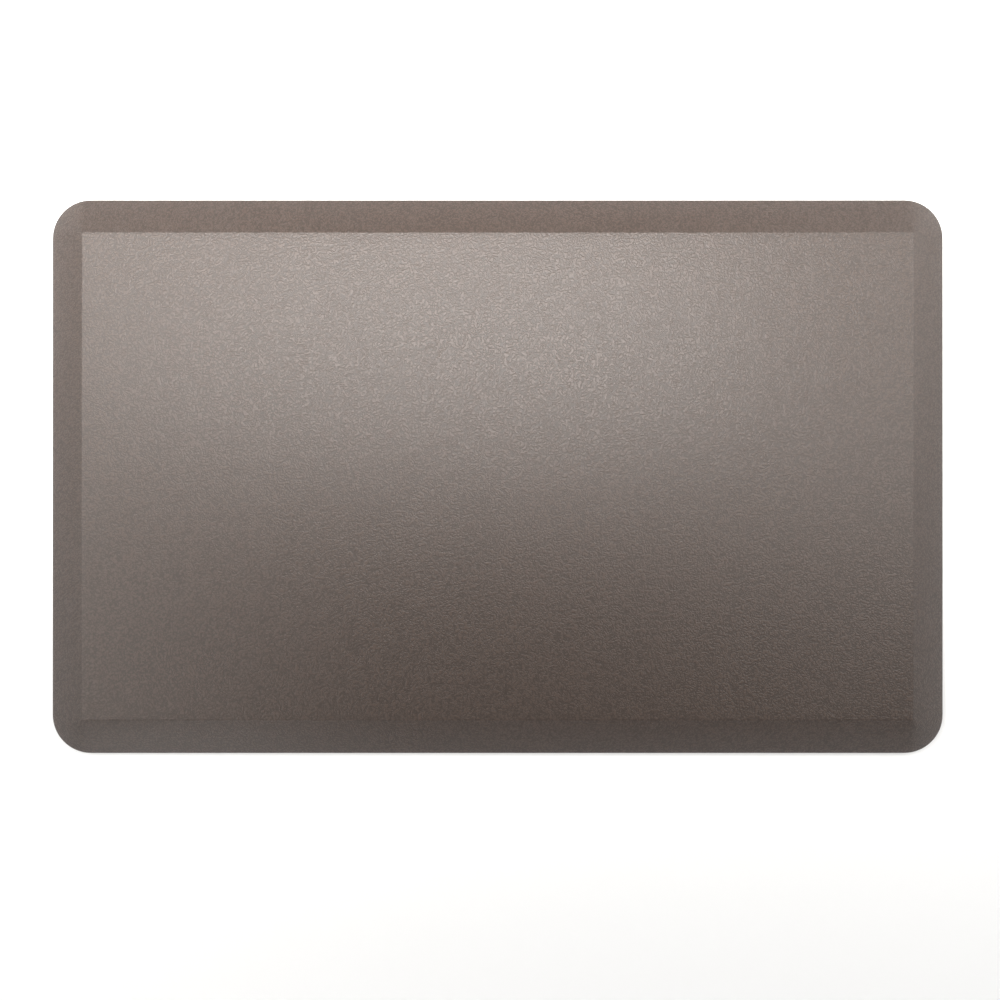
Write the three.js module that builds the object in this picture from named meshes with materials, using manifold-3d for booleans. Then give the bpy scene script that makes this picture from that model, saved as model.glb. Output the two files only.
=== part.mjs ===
// Anti-fatigue standing mat. A moulded leather-grain cover, with a wide bevel on all four sides, is filled
// with two layers of foam and closed underneath by a non-slip rubber sheet. A bead of sealant joins the
// cover's turned-in hem to the sheet, and shows as a dark line round the foot of the mat.
// Millimetres, +Z up, origin on the floor under the middle of the mat, +X along its long side.

import * as THREE from "three";
import { mergeVertices } from "three/addons/utils/BufferGeometryUtils.js";
import Module from "manifold-3d";

// ---- Overall sizes ----
const matLength = 813; // along X, over the foot of the bevels
const matWidth = 505; // along Y, over the foot of the bevels
const matHeight = 19; // from the floor to the standing surface
const bevelWidth = 34; // from the edge of the flat panel out to the lip, seen from above
const panelCornerRadius = 1; // corner of the flat panel; the mat's own corner is one bevel width more

// ---- Cover ----
const coverThickness = 1.2;
const lipHeight = 1; // upright edge at the foot of the bevel
const hemWidth = 12; // the part of the cover that is turned in under the foam

// ---- Sealant bead between the hem and the base sheet ----
const beadThickness = 0.4;
const beadWidth = 9;
const beadRecess = 0.5; // how far the bead stays back from the mat's edge

// ---- Foam ----
const comfortFoamThickness = 6; // the soft layer under the cover; the firm layer fills what is left
const glueGap = 0.3; // bond line between pieces that are glued together

// ---- Base sheet and its tread ----
const baseThickness = 2;
const borderWidth = 12; // least width of the plain border round the tread
const treadDepth = 0.8;
const treadPadWidth = 36; // hexagonal pads, across their flats
const treadChannelWidth = 4; // round every pad

// ---- Smoothness ----
const cornerSegments = 12; // flat facets in each rounded corner

// ---- Derived levels and slopes ----
const panelHalfX = matLength / 2 - bevelWidth;
const panelHalfY = matWidth / 2 - bevelWidth;
const hemBottom = baseThickness + beadThickness;
const hemTop = hemBottom + coverThickness;
const lipTop = hemBottom + lipHeight;
const bevelSlope = Math.atan2(matHeight - lipTop, bevelWidth); // from the horizontal
const foamInset = coverThickness + glueGap; // from the outside of the cover to the foam
const comfortFoamTop = matHeight - foamInset;
const comfortFoamBottom = comfortFoamTop - comfortFoamThickness;

const wasm = await Module();
wasm.setup();

// ---- Outlines, all concentric with the flat panel ----

// The panel's rounded rectangle, grown on every side.
function outline(grow) {
  const x = panelHalfX + grow;
  const y = panelHalfY + grow;
  const r = panelCornerRadius + grow;
  const shape = new THREE.Shape();
  shape.moveTo(x - r, -y);
  shape.absarc(x - r, r - y, r, -Math.PI / 2, 0);
  shape.absarc(x - r, y - r, r, 0, Math.PI / 2);
  shape.absarc(r - x, y - r, r, Math.PI / 2, Math.PI);
  shape.absarc(r - x, r - y, r, Math.PI, (3 * Math.PI) / 2);
  return shape;
}

// How far beyond the panel the bevel has run at height z, on a surface that lies inset below the outside
// of the cover, measured square to it.
function bevelReach(z, inset) {
  return ((matHeight - z) * Math.cos(bevelSlope) - inset) / Math.sin(bevelSlope);
}

// ---- Solids ----

function solidOf(geometry) {
  geometry.deleteAttribute("normal");
  geometry.deleteAttribute("uv");
  const merged = mergeVertices(geometry, 1e-4);
  return new wasm.Manifold(
    new wasm.Mesh({
      numProp: 3,
      vertProperties: merged.attributes.position.array,
      triVerts: new Uint32Array(merged.index.array),
    }),
  );
}

function geometryOf(solid) {
  const mesh = solid.getMesh();
  return new THREE.BufferGeometry()
    .setAttribute("position", new THREE.BufferAttribute(mesh.vertProperties, 3))
    .setIndex(new THREE.BufferAttribute(mesh.triVerts, 1));
}

function prism(shape, fromZ, toZ) {
  const options = { depth: toZ - fromZ, bevelEnabled: false, curveSegments: cornerSegments };
  return solidOf(new THREE.ExtrudeGeometry(shape, options).translate(0, 0, fromZ));
}

function everythingBelow(z) {
  const depth = 4 * matHeight;
  return solidOf(new THREE.BoxGeometry(2 * matLength, 2 * matWidth, depth).translate(0, 0, z - depth / 2));
}

// A pad with a flat top of the given shape at topZ, sides that flare outwards down to flareZ, and upright
// sides from there down to bottomZ. ExtrudeGeometry flares both ends, so the lower end is cut away.
function flaredPad(topShape, flare, topZ, flareZ, bottomZ) {
  const rise = topZ - flareZ;
  const upright = flareZ - bottomZ + rise;
  const both = new THREE.ExtrudeGeometry(topShape, {
    depth: upright,
    bevelThickness: rise,
    bevelSize: flare,
    bevelSegments: 1,
    curveSegments: cornerSegments,
  });
  return solidOf(both.translate(0, 0, flareZ - upright)).subtract(everythingBelow(bottomZ));
}

// A layer of whatever fills the cover, with its edge cut to the slope of the bevel.
function bevelledLayer(bottomZ, topZ, inset) {
  const topReach = bevelReach(topZ, inset);
  return flaredPad(outline(topReach), bevelReach(bottomZ, inset) - topReach, topZ, bottomZ, bottomZ);
}

// ---- Pieces ----

function topCover() {
  const outside = flaredPad(outline(0), bevelWidth, matHeight, lipTop, hemBottom);
  const cavity = bevelledLayer(hemTop, matHeight - coverThickness, coverThickness);
  const mouth = prism(outline(bevelWidth - hemWidth), hemBottom - 1, hemTop + coverThickness);
  return outside.subtract(cavity).subtract(mouth);
}

function edgeSeal() {
  const ring = outline(bevelWidth - beadRecess);
  const inner = outline(bevelWidth - beadRecess - beadWidth);
  ring.holes.push(inner);
  return prism(ring, baseThickness, hemBottom);
}

function comfortFoam() {
  return bevelledLayer(comfortFoamBottom, comfortFoamTop, foamInset);
}

// The firm layer sits on the hem, and a step on its underside fills the mouth inside the hem.
function supportFoam() {
  const body = bevelledLayer(hemTop + glueGap, comfortFoamBottom - glueGap, foamInset);
  const step = outline(bevelWidth - hemWidth - glueGap);
  return body.add(prism(step, baseThickness + glueGap, hemTop + 2 * glueGap));
}

// Where the tread pads stand: rows of hexagons, every other row shifted by half a pitch. Only places where
// a pad and the channel round it stay clear of the border are used.
function padPlaces() {
  const pitchX = treadPadWidth + treadChannelWidth;
  const pitchY = pitchX * Math.cos(Math.PI / 6);
  const reach = hexRadius(treadPadWidth + 2 * treadChannelWidth);
  const cornerRadius = panelCornerRadius + bevelWidth - borderWidth;
  const columns = Math.ceil(matLength / 2 / pitchX);
  const rows = Math.ceil(matWidth / 2 / pitchY);
  const places = [];
  for (let row = -rows; row <= rows; row++) {
    for (let column = -columns; column <= columns; column++) {
      const x = column * pitchX + (row % 2 ? pitchX / 2 : 0);
      const y = row * pitchY;
      const pastX = Math.max(Math.abs(x) + reach - (matLength / 2 - borderWidth - cornerRadius), 0);
      const pastY = Math.max(Math.abs(y) + reach - (matWidth / 2 - borderWidth - cornerRadius), 0);
      if (Math.hypot(pastX, pastY) <= cornerRadius) places.push([x, y]);
    }
  }
  return places;
}

function hexRadius(acrossFlats) {
  return acrossFlats / 2 / Math.cos(Math.PI / 6);
}

function hexPrism([x, y], acrossFlats, halfHeight) {
  const radius = hexRadius(acrossFlats);
  const prismGeometry = new THREE.CylinderGeometry(radius, radius, 2 * halfHeight, 6).rotateX(Math.PI / 2);
  return solidOf(prismGeometry.translate(x, y, 0));
}

// Hexagonal pads stand in a sunk field of channels, and the plain border round it follows the outermost pads.
function baseSheet() {
  const places = padPlaces();
  const fields = places.map((place) => hexPrism(place, treadPadWidth + 2 * treadChannelWidth, treadDepth));
  let channels = fields.reduce((all, field) => all.add(field));
  for (const place of places) {
    channels = channels.subtract(hexPrism(place, treadPadWidth, 2 * treadDepth));
  }
  return prism(outline(bevelWidth), 0, baseThickness).subtract(channels);
}

// ---- Materials ----

const grainedSkin = new THREE.MeshStandardMaterial({ color: 0x5f544e, roughness: 0.5, metalness: 0 });
const sealant = new THREE.MeshStandardMaterial({ color: 0x2c2824, roughness: 0.6, metalness: 0 });
const softFoam = new THREE.MeshStandardMaterial({ color: 0xd9d2c4, roughness: 0.95, metalness: 0 });
const firmFoam = new THREE.MeshStandardMaterial({ color: 0x77726b, roughness: 0.95, metalness: 0 });
const treadRubber = new THREE.MeshStandardMaterial({ color: 0x4a443d, roughness: 0.8, metalness: 0 });

// ---- Assembly ----

const mat = new THREE.Group();

function place(name, solid, material) {
  const mesh = new THREE.Mesh(geometryOf(solid), material);
  mesh.name = name;
  mat.add(mesh);
}

place("top_cover", topCover(), grainedSkin);
place("comfort_foam", comfortFoam(), softFoam);
place("support_foam", supportFoam(), firmFoam);
place("edge_seal", edgeSeal(), sealant);
place("base_sheet", baseSheet(), treadRubber);

export default mat;
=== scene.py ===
import math

import bmesh
import bpy
from mathutils import Matrix, Vector, noise


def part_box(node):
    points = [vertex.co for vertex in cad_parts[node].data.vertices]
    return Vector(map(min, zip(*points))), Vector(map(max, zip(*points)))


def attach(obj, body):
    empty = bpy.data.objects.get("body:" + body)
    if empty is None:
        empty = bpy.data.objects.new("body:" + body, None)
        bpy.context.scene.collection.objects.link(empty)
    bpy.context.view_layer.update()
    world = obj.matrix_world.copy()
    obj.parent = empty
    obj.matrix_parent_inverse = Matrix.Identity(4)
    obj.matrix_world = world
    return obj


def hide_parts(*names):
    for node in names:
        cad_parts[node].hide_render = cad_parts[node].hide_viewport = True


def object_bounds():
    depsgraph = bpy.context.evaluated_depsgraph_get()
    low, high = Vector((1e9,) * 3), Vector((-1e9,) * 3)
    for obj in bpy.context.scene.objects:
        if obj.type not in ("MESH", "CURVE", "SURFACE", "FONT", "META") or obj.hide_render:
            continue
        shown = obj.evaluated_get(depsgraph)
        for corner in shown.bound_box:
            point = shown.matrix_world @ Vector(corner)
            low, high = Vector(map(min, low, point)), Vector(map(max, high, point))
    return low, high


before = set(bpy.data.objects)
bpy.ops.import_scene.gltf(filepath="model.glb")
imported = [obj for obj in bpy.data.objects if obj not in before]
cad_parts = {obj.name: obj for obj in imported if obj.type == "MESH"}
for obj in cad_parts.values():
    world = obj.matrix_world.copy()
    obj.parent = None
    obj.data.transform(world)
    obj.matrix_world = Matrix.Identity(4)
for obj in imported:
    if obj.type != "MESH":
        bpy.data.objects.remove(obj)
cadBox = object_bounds()
scene = bpy.context.scene

millimetre = 0.001
matLow, matHigh = cadBox
print("frame: mat is", [round(side / millimetre, 1) for side in matHigh - matLow], "mm")


# camera: looks straight down, from a little towards the near long side
cameraSet = {
    "lens": 32.55,
    "sensor": 36.0,
    "height": 0.829,  # above the floor
    "besideMiddle": (0.0021, -0.0214),  # of the mat
}


def makeCamera():
    data = bpy.data.cameras.new("camera")
    data.lens = cameraSet["lens"]
    data.sensor_width = cameraSet["sensor"]
    camera = bpy.data.objects.new("camera", data)
    x, y = cameraSet["besideMiddle"]
    camera.location = (x, y, cameraSet["height"])
    scene.collection.objects.link(camera)
    scene.camera = camera


makeCamera()
print("camera: made")


# sizes that every piece shares
mat = {
    "bevelWidth": 34.0,  # flat panel to lip, seen from above
    "panelCorner": 1.0,  # corner radius of the flat panel
    "cornerSteps": 16,
    "gridStep": 10.0,  # mesh size on the flat panel
    "lipHeight": 1.0,
    "coverThickness": 1.2,
    "hemWidth": 12.0,
    "glueGap": 0.3,
    "mergeDistance": 0.01,  # vertices closer than this become one
}
top = matHigh.z / millimetre
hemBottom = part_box("top_cover")[0].z / millimetre
hemTop = hemBottom + mat["coverThickness"]
lipTop = hemBottom + mat["lipHeight"]
panelHalf = [matHigh.x / millimetre - mat["bevelWidth"], matHigh.y / millimetre - mat["bevelWidth"]]
cornerAxis = [half - mat["panelCorner"] for half in panelHalf]  # every rounded corner turns about this point
matEdge = mat["panelCorner"] + mat["bevelWidth"]  # from the corner axis out to the lip
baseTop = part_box("base_sheet")[1].z / millimetre
slope = math.atan2(top - lipTop, mat["bevelWidth"])


def reachAt(z, inset):
    # how far from the corner axis a surface parallel to the bevel lies at height z
    return mat["panelCorner"] + ((top - z) * math.cos(slope) - inset) / math.sin(slope)


# colour and node helpers
def hexColour(code):
    parts = [int(code[i : i + 2], 16) / 255 for i in (1, 3, 5)]
    return [c / 12.92 if c <= 0.04045 else ((c + 0.055) / 1.055) ** 2.4 for c in parts] + [1]


def addNode(tree, kind, inputs=None, **settings):
    node = tree.nodes.new(kind)
    for name, value in settings.items():
        setattr(node, name, value)
    for name, value in (inputs or {}).items():
        if isinstance(value, bpy.types.NodeSocket):
            tree.links.new(value, node.inputs[name])
        else:
            node.inputs[name].default_value = value
    return node


def newMaterial(name):
    material = bpy.data.materials.new(name)
    material.use_nodes = True
    tree = material.node_tree
    shader = tree.nodes["Principled BSDF"]
    where = addNode(tree, "ShaderNodeTexCoord").outputs["Object"]
    inMillimetres = addNode(tree, "ShaderNodeMapping", {"Vector": where, "Scale": (1 / millimetre,) * 3})
    return material, tree, shader, inMillimetres.outputs["Vector"]


# moulding helpers: pieces grow as rounded rectangles round one corner axis
def moveRing(verts, radius, z):
    for v in verts:
        axis = Vector([max(-limit, min(limit, at)) for limit, at in zip(cornerAxis, v.co)])
        v.co.xy = axis + (v.co.xy - axis).normalized() * radius
        v.co.z = z


def startPanel(bm, radius, z):
    # a flat grid with four rounded corners, moved out or in to the radius; gives back its rim
    before = set(bm.edges)
    steps = [round(2 * half / mat["gridStep"]) for half in panelHalf]
    made = bmesh.ops.create_grid(bm, x_segments=steps[0], y_segments=steps[1], size=1)["verts"]
    bmesh.ops.transform(bm, matrix=Matrix.Diagonal((*panelHalf, 1, 1)), verts=made)
    bmesh.ops.translate(bm, vec=(0, 0, z), verts=made)
    bmesh.ops.bevel(
        bm,
        geom=[v for v in made if len(v.link_edges) == 2],
        offset=mat["panelCorner"],
        offset_type="OFFSET",
        segments=mat["cornerSteps"],
        profile=0.5,
        affect="VERTICES",
        material=-1,
    )
    rim = [e for e in bm.edges if e.is_boundary and e not in before]
    moveRing({v for e in rim for v in e.verts}, radius, z)
    return rim


def startRing(bm, radius, z):
    # the rim of such a panel, with nothing inside
    before = set(bm.faces)
    rim = startPanel(bm, radius, z)
    bmesh.ops.delete(bm, geom=[f for f in bm.faces if f not in before], context="FACES_KEEP_BOUNDARY")
    return rim


def growRing(bm, rim, radius, z):
    made = bmesh.ops.extrude_edge_only(bm, edges=rim)["geom"]
    moveRing([g for g in made if isinstance(g, bmesh.types.BMVert)], radius, z)
    return [g for g in made if isinstance(g, bmesh.types.BMEdge)]


def growRings(bm, rim, section):
    for radius, z in section:
        rim = growRing(bm, rim, radius, z)
    return rim


def finishPiece(bm, name, material, node, smoothAngle):
    bmesh.ops.remove_doubles(bm, verts=bm.verts, dist=mat["mergeDistance"])
    bmesh.ops.recalc_face_normals(bm, faces=bm.faces)
    bmesh.ops.scale(bm, vec=(millimetre,) * 3, verts=bm.verts)
    mesh = bpy.data.meshes.new(name)
    bm.to_mesh(mesh)
    bm.free()
    mesh.materials.append(material)
    mesh.shade_smooth()
    mesh.set_sharp_from_angle(angle=math.radians(smoothAngle))
    piece = bpy.data.objects.new(name, mesh)
    scene.collection.objects.link(piece)
    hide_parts(node)
    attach(piece, "root")
    print(name + ":", len(mesh.polygons), "faces")
    return piece


# moulded cover
cover = {
    "creaseRadius": 4.0,  # soft fold between panel and bevel
    "creaseSteps": 5,
    "bevelSteps": 9,
    "bevelCrown": 0.5,  # how far the bevel bulges in its middle
    "footRadius": 1.2,
    "footSteps": 4,
    "hemBreak": 0.15,  # where the lip turns in under the foam
    "smoothAngle": 60,
    "grainPitch": 1.45,
    "grainPull": 1.3,  # how far the pebbles are drawn out of shape
    "pullPitches": 2,  # over how many pebbles that changes
    "grainDepth": 0.115,
    "veins": [  # density in cells to a pitch; width in noise values; floor is the height left in a trough
        {"shift": 0, "density": 0.62, "detail": 0.6, "width": 0.15, "floor": 0},
        {"shift": 31, "density": 0.5, "detail": 0, "width": 0.10, "floor": 0.5},
    ],
    "fineSize": 0.625,  # pores all over
    "fineShare": 0.2,
    "mottleSize": 33.3,  # faint patches of colour
    "skin": "#453A34",
    "skinWarm": "#483B34",
    # painted shade: the colour of the troughs between the pebbles, darker than the skin
    "paintedTroughShade": "#352C27",
    "backRoughness": 0.36,
    "troughRoughness": 0.4,
    "ior": 1.52,
}


def mouldedPolyurethane():
    # polyurethane skin cast against a leather-grained mould: short winding pebbles with satin backs, and
    # fine troughs between them that break every reflection up into small glints
    # the troughs are also coloured darker than the pebble backs, as painted shade in the grain's hollows
    material, tree, shader, place = newMaterial("mouldedPolyurethaneGrain")
    pitch = cover["grainPitch"]
    slow = 1 / (cover["pullPitches"] * pitch)
    pull = addNode(tree, "ShaderNodeTexNoise", {"Vector": place, "Scale": slow, "Detail": 1.0})
    bent = addNode(
        tree,
        "ShaderNodeVectorMath",
        {0: pull.outputs["Color"], 1: (cover["grainPull"],) * 3, 2: place},
        operation="MULTIPLY_ADD",
    )

    # a trough runs wherever a slow noise passes through its middle value: long ones, then short ones across
    backs = []
    for vein in cover["veins"]:
        moved = addNode(tree, "ShaderNodeVectorMath", {0: bent.outputs[0], 1: (vein["shift"],) * 3})
        winding = addNode(
            tree,
            "ShaderNodeTexNoise",
            {"Vector": moved.outputs[0], "Scale": vein["density"] / pitch, "Detail": vein["detail"]},
        )
        offVein = addNode(tree, "ShaderNodeMath", {0: winding.outputs["Fac"], 1: 0.5}, operation="SUBTRACT")
        distance = addNode(tree, "ShaderNodeMath", {0: offVein.outputs[0]}, operation="ABSOLUTE")
        rise = {"Value": distance.outputs[0], "From Max": vein["width"], "To Min": vein["floor"]}
        back = addNode(tree, "ShaderNodeMapRange", rise, interpolation_type="SMOOTHSTEP")
        backs.append(back.outputs["Result"])
    pebbles = addNode(tree, "ShaderNodeMath", {0: backs[0], 1: backs[1]}, operation="MULTIPLY")
    pores = {"Vector": place, "Scale": 1 / cover["fineSize"], "Detail": 3.0, "Roughness": 0.6}
    fine = addNode(tree, "ShaderNodeTexNoise", pores)
    height = addNode(
        tree,
        "ShaderNodeMath",
        {0: fine.outputs["Fac"], 1: cover["fineShare"], 2: pebbles.outputs[0]},
        operation="MULTIPLY_ADD",
    )
    grain = addNode(
        tree,
        "ShaderNodeBump",
        {"Height": height.outputs[0], "Distance": cover["grainDepth"] * millimetre, "Strength": 1.0},
    )
    patches = {"Vector": place, "Scale": 1 / cover["mottleSize"], "Detail": 3.0}
    mottle = addNode(tree, "ShaderNodeTexNoise", patches)
    skin = addNode(
        tree,
        "ShaderNodeMix",
        {"Factor": mottle.outputs["Fac"], 6: hexColour(cover["skin"]), 7: hexColour(cover["skinWarm"])},
        data_type="RGBA",
    )
    # painted shade: the troughs take the darker trough colour, the pebble backs the skin colour
    colour = addNode(
        tree,
        "ShaderNodeMix",
        {"Factor": pebbles.outputs[0], 6: hexColour(cover["paintedTroughShade"]), 7: skin.outputs[2]},
        data_type="RGBA",
    )
    gloss = addNode(
        tree,
        "ShaderNodeMapRange",
        {"Value": height.outputs[0], "To Min": cover["troughRoughness"], "To Max": cover["backRoughness"]},
    )
    tree.links.new(colour.outputs[2], shader.inputs["Base Color"])
    tree.links.new(gloss.outputs["Result"], shader.inputs["Roughness"])
    tree.links.new(grain.outputs["Normal"], shader.inputs["Normal"])
    shader.inputs["IOR"].default_value = cover["ior"]
    return material


def makeCover():
    bm = bmesh.new()
    radius = cover["creaseRadius"]
    setBack = radius * math.tan(slope / 2)  # from the sharp crease to where the fold starts
    inner = mat["panelCorner"] - setBack
    rim = startPanel(bm, inner, top)

    # fold over the crease
    for step in range(1, cover["creaseSteps"] + 1):
        turn = slope * step / cover["creaseSteps"]
        rim = growRing(bm, rim, inner + radius * math.sin(turn), top - radius * (1 - math.cos(turn)))

    # down the bevel, slightly crowned, to where the foot turns under
    startReach = inner + radius * math.sin(slope)
    startZ = top - radius * (1 - math.cos(slope))
    footBack = cover["footRadius"] * math.tan((math.pi / 2 - slope) / 2)
    endReach = matEdge - footBack * math.cos(slope)
    endZ = lipTop + footBack * math.sin(slope)
    for step in range(1, cover["bevelSteps"] + 1):
        along = step / cover["bevelSteps"]
        crown = cover["bevelCrown"] * 4 * along * (1 - along)
        reach = startReach + (endReach - startReach) * along + crown * math.sin(slope)
        rim = growRing(bm, rim, reach, startZ + (endZ - startZ) * along + crown * math.cos(slope))

    # round the foot, down the lip, and in under the foam
    footCentre = (matEdge - cover["footRadius"], lipTop - footBack)
    for step in range(1, cover["footSteps"] + 1):
        turn = slope + (math.pi / 2 - slope) * step / cover["footSteps"]
        rim = growRing(
            bm,
            rim,
            footCentre[0] + cover["footRadius"] * math.sin(turn),
            footCentre[1] + cover["footRadius"] * math.cos(turn),
        )
    mouth = matEdge - mat["hemWidth"]
    turnIn = cover["hemBreak"]
    lip = [(matEdge, hemBottom + turnIn), (matEdge - turnIn, hemBottom)]
    rim = growRings(bm, rim, lip + [(mouth, hemBottom), (mouth, hemTop)])

    # back out over the hem and up the inside
    thick = mat["coverThickness"]
    ceiling = (reachAt(top - thick, thick), top - thick)
    growRings(bm, rim, [(reachAt(hemTop, thick), hemTop), ceiling])
    startPanel(bm, *ceiling)
    skin = mouldedPolyurethane()
    return finishPiece(bm, "grainedCover", skin, "top_cover", cover["smoothAngle"])


# bead of sealant between the hem and the base sheet
bead = {
    "recess": 0.5,
    "width": 9.0,
    "round": 0.12,
    "unevenness": 0.16,
    "swellLength": 14.0,
    "smoothAngle": 50,
    "dipSize": 2.0,
    "dipDepth": 0.2,
    "colour": "#1E1B19",
    "smoothRoughness": 0.4,
    "dullRoughness": 0.6,
}


def polyurethaneSealant():
    # polyurethane sealant, squeezed out and cured: nearly black, with a dull skin that dips and swells
    material, tree, shader, place = newMaterial("curedSealant")
    dips = {"Vector": place, "Scale": 1 / bead["dipSize"], "Detail": 2.0}
    swell = addNode(tree, "ShaderNodeTexNoise", dips)
    skin = addNode(
        tree,
        "ShaderNodeBump",
        {"Height": swell.outputs["Fac"], "Distance": bead["dipDepth"] * millimetre, "Strength": 1.0},
    )
    dull = addNode(
        tree,
        "ShaderNodeMapRange",
        {"Value": swell.outputs["Fac"], "To Min": bead["smoothRoughness"], "To Max": bead["dullRoughness"]},
    )
    shader.inputs["Base Color"].default_value = hexColour(bead["colour"])
    tree.links.new(dull.outputs["Result"], shader.inputs["Roughness"])
    tree.links.new(skin.outputs["Normal"], shader.inputs["Normal"])
    return material


def makeBead():
    bm = bmesh.new()
    low, high = baseTop, hemBottom
    outer = matEdge - bead["recess"]
    back = outer - bead["width"]
    soft = bead["round"]
    rim = startRing(bm, back, low)
    front = [(outer - soft, low), (outer, low + soft), (outer, high - soft), (outer - soft, high)]
    growRings(bm, rim, front + [(back, high), (back, low)])
    for v in bm.verts:
        if low < v.co.z < high:  # only the face that shows
            v.co.xy *= 1 + noise.noise(v.co / bead["swellLength"]) * bead["unevenness"] / v.co.xy.length
    rubbery = polyurethaneSealant()
    return finishPiece(bm, "sealantBead", rubbery, "edge_seal", bead["smoothAngle"])


# rubber base sheet with a moulded tread
base = {
    "border": 12.0,
    "depth": 0.8,
    "padWidth": 36.0,
    "channel": 4.0,
    "wall": [(0.18, 0.5), (0.1, 0.2), (0.2, 0.1)],  # in by and down by: a drafted side with a rounded rim
    "outerWallIn": 0.3,  # foot of the outermost wall, in from the edge of its channel
    "edgeRound": 0.45,
    "edgeSteps": 4,
    "grooveIn": 5.0,  # from the pad's side to the groove that runs round it
    "grooveWide": 1.2,
    "grooveSide": 0.25,
    "grooveDeep": 0.4,
    "dimpleIn": 6.0,  # from the groove to the dimple in the middle
    "dimpleSide": 0.3,
    "smoothAngle": 30,
    "colour": "#332C28",
    "bloomColour": "#453D37",
    "topRoughness": 0.55,
    "pitRoughness": 0.75,
    "ior": 1.52,
    "pitSize": 0.8,
    "pitDepth": 0.35,
    "bloomSize": 60.0,
}


def compressionMouldedRubber():
    # compression moulded nitrile rubber: dry and matt, with the fine pitted texture of a spark-eroded mould
    # and a trace of bloom that greys it in patches
    material, tree, shader, place = newMaterial("compressionMouldedRubber")
    pits = addNode(tree, "ShaderNodeTexNoise", {"Vector": place, "Scale": 1 / base["pitSize"], "Detail": 2.0})
    patches = {"Vector": place, "Scale": 1 / base["bloomSize"], "Detail": 4.0}
    bloom = addNode(tree, "ShaderNodeTexNoise", patches)
    colour = addNode(
        tree,
        "ShaderNodeMix",
        {"Factor": bloom.outputs["Fac"], 6: hexColour(base["colour"]), 7: hexColour(base["bloomColour"])},
        data_type="RGBA",
    )
    dry = addNode(
        tree,
        "ShaderNodeMapRange",
        {"Value": pits.outputs["Fac"], "To Min": base["pitRoughness"], "To Max": base["topRoughness"]},
    )
    pitted = addNode(
        tree,
        "ShaderNodeBump",
        {"Height": pits.outputs["Fac"], "Distance": base["pitDepth"] * millimetre, "Strength": 1.0},
    )
    tree.links.new(colour.outputs[2], shader.inputs["Base Color"])
    tree.links.new(dry.outputs["Result"], shader.inputs["Roughness"])
    tree.links.new(pitted.outputs["Normal"], shader.inputs["Normal"])
    shader.inputs["IOR"].default_value = base["ior"]
    return material


def padPlaces():
    # rows of hexagons, every other row shifted by half a pitch, wherever a whole pad and its channel fit
    pitchX = base["padWidth"] + base["channel"]
    pitchY = pitchX * math.cos(math.pi / 6)
    reach = (base["padWidth"] / 2 + base["channel"]) / math.cos(math.pi / 6)
    room = matEdge - base["border"]
    columns, rows = (math.ceil((axis + matEdge) / pitch) for axis, pitch in zip(cornerAxis, (pitchX, pitchY)))
    places = []
    for row in range(-rows, rows + 1):
        for column in range(-columns, columns + 1):
            x, y = (column + row % 2 / 2) * pitchX, row * pitchY
            past = [max(abs(at) + reach - axis, 0) for at, axis in zip((x, y), cornerAxis)]
            if math.hypot(*past) <= room:
                places.append((x, y))
    return places


def spotsOutside(verts, distance):
    # where each vertex of the honeycomb's rim comes to lie, straight away from the faces it belongs to
    spots = {}
    for v in verts:
        middle = sum((f.calc_center_median() for f in v.link_faces), Vector()) / len(v.link_faces)
        away = (v.co.xy - middle.xy).normalized()
        spots[v] = v.co.xy + away * distance / math.cos(math.pi / 6)
    return spots


def makeBase():
    bm = bmesh.new()
    floorZ = base["depth"]

    # honeycomb of cells on the channel floor, with a pad raised in the middle of each
    radius = (base["padWidth"] + base["channel"]) / 2 / math.cos(math.pi / 6)
    for x, y in padPlaces():
        bmesh.ops.create_circle(
            bm, cap_ends=True, segments=6, radius=radius, matrix=Matrix.Translation((x, y, floorZ))
        )
    bmesh.ops.remove_doubles(bm, verts=bm.verts, dist=mat["mergeDistance"])
    for cell in bm.faces:
        if cell.normal.z > 0:
            cell.normal_flip()
    pads = list(bm.faces)
    side, deep = base["grooveSide"], base["grooveDeep"]
    groove = [(base["grooveIn"], 0), (side, -deep), (base["grooveWide"] - 2 * side, 0), (side, deep)]
    dimple = [(base["dimpleIn"], 0), (base["dimpleSide"], -deep)]
    for thickness, depth in [(base["channel"] / 2, 0)] + base["wall"] + groove + dimple:
        bmesh.ops.inset_individual(bm, faces=pads, thickness=thickness, depth=depth, use_even_offset=True)

    # the outermost channel, and its wall up to the border
    rim = [e for e in bm.edges if e.is_boundary]
    z = floorZ
    for distance, drop in [(base["channel"] / 2 - base["outerWallIn"], 0)] + base["wall"]:
        z -= drop
        spots = spotsOutside({v for e in rim for v in e.verts}, distance)
        made = bmesh.ops.extrude_edge_only(bm, edges=rim)["geom"]
        rim = [g for g in made if isinstance(g, bmesh.types.BMEdge)]
        for v in [g for g in made if isinstance(g, bmesh.types.BMVert)]:
            parent = next(e.other_vert(v) for e in v.link_edges if e.other_vert(v) in spots)
            v.co = (*spots[parent], z)

    # flat top under the foam, round the edge, and the plain border under it
    outline = startPanel(bm, mat["panelCorner"], baseTop)
    soft = base["edgeRound"]
    section = []
    for centreZ, start in ((baseTop - soft, 0), (soft, math.pi / 2)):
        for step in range(base["edgeSteps"] + 1):
            turn = start + math.pi / 2 * step / base["edgeSteps"]
            section.append((matEdge - soft + soft * math.sin(turn), centreZ + soft * math.cos(turn)))
    outline = growRings(bm, outline, section)
    bmesh.ops.triangle_fill(bm, edges=outline + rim, use_beauty=True, use_dissolve=False)
    rubber = compressionMouldedRubber()
    return finishPiece(bm, "treadedBase", rubber, "base_sheet", base["smoothAngle"])


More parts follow.
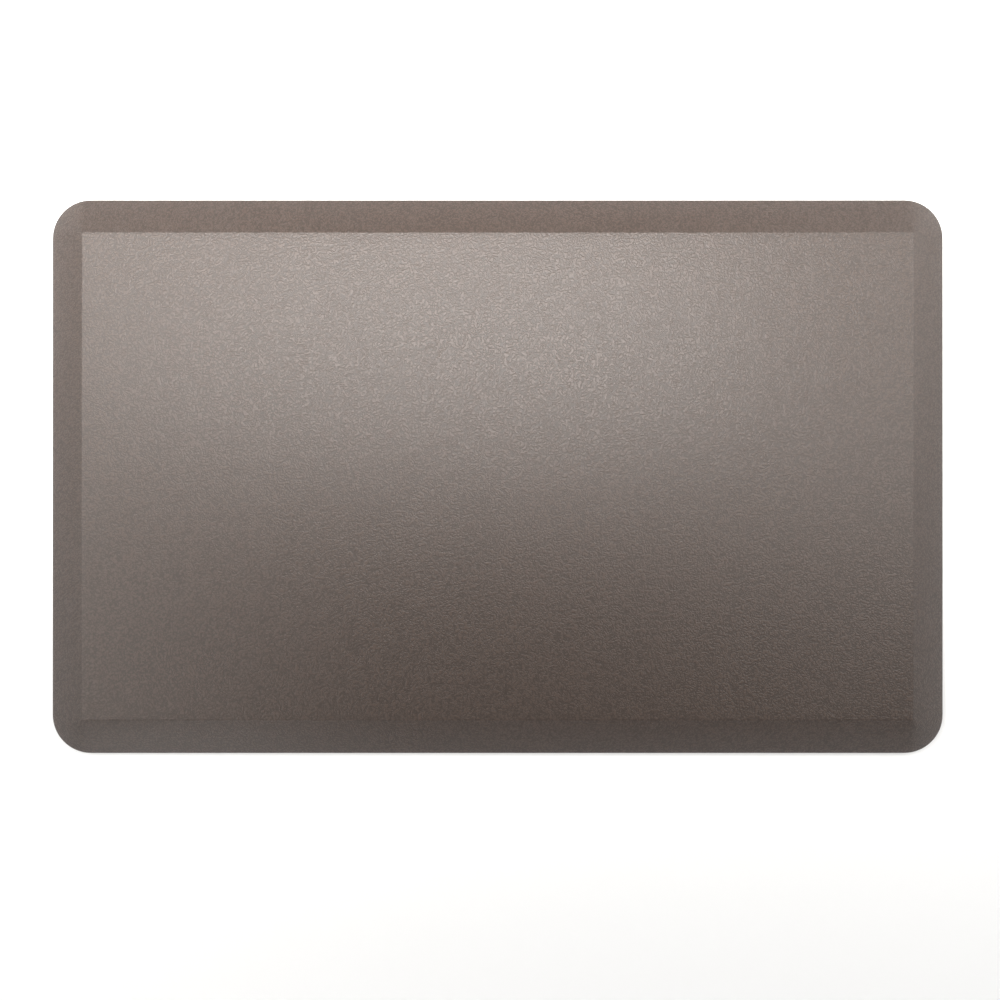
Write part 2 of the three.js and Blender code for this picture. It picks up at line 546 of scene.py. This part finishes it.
# the two layers of foam
foam = {
    "comfortThickness": 6.0,
    "edgeRound": 0.4,
    "sideSteps": 4,
    "sawWave": 0.12,
    "sawLength": 60.0,
    "sawHeight": 4.0,
    "smoothAngle": 30,
    "softColour": "#E4DCCB",
    "firmColour": "#7D776F",
    "softCell": 0.9,
    "firmCell": 0.5,
    "paintedPoreShade": 0.55,  # painted shade: how much darker a pore's bottom is coloured than its rim
    "poreDepth": 0.4,  # as a share of the cell
    "roughness": 0.95,
}
foamInset = mat["coverThickness"] + mat["glueGap"]  # from the outside of the cover to the foam
comfortTop = top - foamInset
comfortBottom = comfortTop - foam["comfortThickness"]


def openCellFoam(name, colour, cell):
    # open-cell polyurethane foam, cut from the block: dull, porous, with every pore's rim standing up, and
    # each pore's bottom coloured darker as painted shade
    material, tree, shader, place = newMaterial(name)
    pores = addNode(tree, "ShaderNodeTexVoronoi", {"Vector": place, "Scale": 1 / cell}, feature="F1")
    # painted shade: the pore bottoms get a darkened copy of the foam colour
    poreShadowColour = hexColour(colour)
    poreShadowColour[:3] = [c * foam["paintedPoreShade"] for c in poreShadowColour[:3]]
    shade = addNode(
        tree,
        "ShaderNodeMix",
        {"Factor": pores.outputs["Distance"], 6: poreShadowColour, 7: hexColour(colour)},
        data_type="RGBA",
    )
    relief = {"Height": pores.outputs["Distance"], "Distance": cell * foam["poreDepth"] * millimetre}
    bump = addNode(tree, "ShaderNodeBump", relief)
    tree.links.new(shade.outputs[2], shader.inputs["Base Color"])
    tree.links.new(bump.outputs["Normal"], shader.inputs["Normal"])
    shader.inputs["Roughness"].default_value = foam["roughness"]
    return material


def layerSide(topZ, bottomZ):
    # the side of a layer, cut to the slope of the bevel, with its sharp rims broken
    soft = foam["edgeRound"]
    steps = foam["sideSteps"]
    drop = topZ - bottomZ - 2 * soft
    levels = [topZ - soft - drop * step / steps for step in range(steps + 1)]
    upper = (reachAt(topZ, foamInset) - soft / 2, topZ)
    lower = (reachAt(bottomZ, foamInset) - soft, bottomZ)
    return [upper] + [(reachAt(z, foamInset), z) for z in levels] + [lower]


def sawMarks(bm):
    # the cut faces of a foam block aren't dead flat
    along, up = foam["sawLength"], foam["sawHeight"]
    for v in bm.verts:
        v.co.z += noise.noise(Vector((v.co.x / along, v.co.y / along, v.co.z / up))) * foam["sawWave"]


def makeComfortFoam():
    bm = bmesh.new()
    section = layerSide(comfortTop, comfortBottom)
    growRings(bm, startPanel(bm, *section[0]), section[1:])
    growRings(bm, startPanel(bm, mat["panelCorner"], comfortBottom), section[-1:])
    sawMarks(bm)
    material = openCellFoam("softOpenCellFoam", foam["softColour"], foam["softCell"])
    return finishPiece(bm, "comfortFoamLayer", material, "comfort_foam", foam["smoothAngle"])


def makeSupportFoam():
    bm = bmesh.new()
    topZ = comfortBottom - mat["glueGap"]
    bottomZ = hemTop + mat["glueGap"]
    stepEdge = matEdge - mat["hemWidth"] - mat["glueGap"]
    stepZ = baseTop + mat["glueGap"]
    soft = foam["edgeRound"]
    down = [(stepEdge, bottomZ), (stepEdge, stepZ + soft), (stepEdge - soft, stepZ)]
    growRings(bm, startPanel(bm, mat["panelCorner"], topZ), layerSide(topZ, bottomZ) + down)
    growRings(bm, startPanel(bm, mat["panelCorner"], stepZ), down[-1:])
    sawMarks(bm)
    material = openCellFoam("firmOpenCellFoam", foam["firmColour"], foam["firmCell"])
    return finishPiece(bm, "supportFoamLayer", material, "support_foam", foam["smoothAngle"])


coverPiece = makeCover()
makeBead()
makeBase()
comfortPiece = makeComfortFoam()
supportPiece = makeSupportFoam()


# floor and light
studio = {
    "floorRadius": 4.0,  # metres, as are the sweep and the wall
    "sweepRadius": 1.5,  # of the curve that joins the floor to the wall
    "sweepSteps": 12,
    "turnSteps": 64,
    "wallTop": 2.4,
    "floorColour": "#F4F5F6",
    "floorRoughness": 0.9,
    "rollerSize": 2.5,  # millimetres, as are the depth and the two glow distances
    "rollerDepth": 0.05,
    "paintedFarGlow": 0.5,  # painted glow: the board itself gives off light, more and more from glowStart out to glowEnd
    "glowStart": 800.0,
    "glowEnd": 3200.0,
    "worldColour": "#FFFFFF",
    "worldStrength": 0.22,
    "lampColour": "#FFFCF8",
}


def paintedBoard():
    # matt white painted board: no gloss, a trace of roller texture, and a painted glow of its own that grows
    # away from the middle
    material, tree, shader, place = newMaterial("mattPaintedBoard")
    nap = {"Vector": place, "Scale": 1 / studio["rollerSize"], "Detail": 2.0}
    roller = addNode(tree, "ShaderNodeTexNoise", nap)
    texture = addNode(
        tree,
        "ShaderNodeBump",
        {"Height": roller.outputs["Fac"], "Distance": studio["rollerDepth"] * millimetre, "Strength": 1.0},
    )
    tree.links.new(texture.outputs["Normal"], shader.inputs["Normal"])
    shader.inputs["Base Color"].default_value = hexColour(studio["floorColour"])
    shader.inputs["Roughness"].default_value = studio["floorRoughness"]
    # painted glow: the board emits its own colour, stronger and stronger away from the middle, to brighten
    # the far floor and wall
    shader.inputs["Emission Color"].default_value = hexColour(studio["floorColour"])
    away = addNode(tree, "ShaderNodeVectorMath", {0: place}, operation="LENGTH")
    reach = {"From Min": studio["glowStart"], "From Max": studio["glowEnd"], "To Max": studio["paintedFarGlow"]}
    glow = addNode(
        tree, "ShaderNodeMapRange", {"Value": away.outputs["Value"], **reach}, interpolation_type="SMOOTHSTEP"
    )
    tree.links.new(glow.outputs["Result"], shader.inputs["Emission Strength"])
    material.cycles.emission_sampling = "NONE"
    return material


def makeFloor():
    # a round floor that sweeps up into a low wall
    bm = bmesh.new()
    radius, sweep = studio["floorRadius"], studio["sweepRadius"]
    edge = bm.verts.new((radius, 0, 0))
    bm.edges.new((bm.verts.new((0, 0, 0)), edge))
    bmesh.ops.spin(
        bm,
        geom=[edge],
        cent=(radius, 0, sweep),
        axis=(0, -1, 0),
        angle=math.pi / 2,
        steps=studio["sweepSteps"],
        use_merge=False,
    )
    rimTop = max(bm.verts, key=lambda v: v.co.z)
    bm.edges.new((rimTop, bm.verts.new((radius + sweep, 0, studio["wallTop"]))))
    bmesh.ops.spin(
        bm,
        geom=list(bm.verts) + list(bm.edges),
        axis=(0, 0, 1),
        angle=2 * math.pi,
        steps=studio["turnSteps"],
        use_merge=True,
    )
    bmesh.ops.remove_doubles(bm, verts=bm.verts, dist=millimetre)
    bmesh.ops.recalc_face_normals(bm, faces=bm.faces)
    middle = min(bm.faces, key=lambda f: f.calc_center_median().length)
    if middle.normal.z < 0:
        bmesh.ops.reverse_faces(bm, faces=bm.faces)
    mesh = bpy.data.meshes.new("floor")
    bm.to_mesh(mesh)
    bm.free()
    mesh.materials.append(paintedBoard())
    mesh.shade_smooth()
    floor = bpy.data.objects.new("floor", mesh)
    scene.collection.objects.link(floor)


lamps = {  # metres, degrees and watts; aim is the spot on the floor that a lamp faces
    "farSoftbox": {
        "place": (-0.14, 0.62, 1.4),
        "aim": (-0.14, 1.2),
        "size": (1.45, 1.1),
        "spread": 98,
        "power": 44.6,
    },
    "rightStrip": {
        "place": (1.47, 0.72, 1.11),
        "aim": (0, 0),
        "size": (1.6, 0.73),
        "spread": 180,
        "power": 21.7,
    },
    "leftStrip": {
        "place": (-1.2, 0.5, 1.05),
        "aim": (0, 0),
        "size": (1.6, 0.38),
        "spread": 180,
        "power": 15.6,
    },
    "leftFill": {
        "place": (-1.1, -0.55, 1.4),
        "aim": (0, 0),
        "size": (0.7, 0.7),
        "spread": 180,
        "power": 5.7,
    },
    "rightFill": {
        "place": (0.95, 0, 1.4),
        "aim": (0, 0),
        "size": (0.5, 0.5),
        "spread": 180,
        "power": 4.1,
    },
    "nearFill": {
        "place": (-0.87, -1.72, 0.75),
        "aim": (0, 0),
        "size": (0.41, 0.36),
        "spread": 180,
        "power": 2.7,
    },
}


def makeLamps():
    for name, lamp in lamps.items():
        data = bpy.data.lights.new(name, "AREA")
        data.shape = "RECTANGLE"
        data.size, data.size_y = lamp["size"]
        data.spread = math.radians(lamp["spread"])
        data.energy = lamp["power"]
        data.color = hexColour(studio["lampColour"])[:3]
        light = bpy.data.objects.new(name, data)
        towards = Vector((*lamp["aim"], 0)) - Vector(lamp["place"])
        light.rotation_euler = towards.to_track_quat("-Z", "Y").to_euler()
        light.location = lamp["place"]
        light.visible_camera = False
        scene.collection.objects.link(light)
    world = bpy.data.worlds.new("room")
    world.use_nodes = True
    background = world.node_tree.nodes["Background"]
    background.inputs["Color"].default_value = hexColour(studio["worldColour"])
    background.inputs["Strength"].default_value = studio["worldStrength"]
    scene.world = world
    scene.view_settings.view_transform = "Standard"


makeFloor()
makeLamps()
print("studio: made")
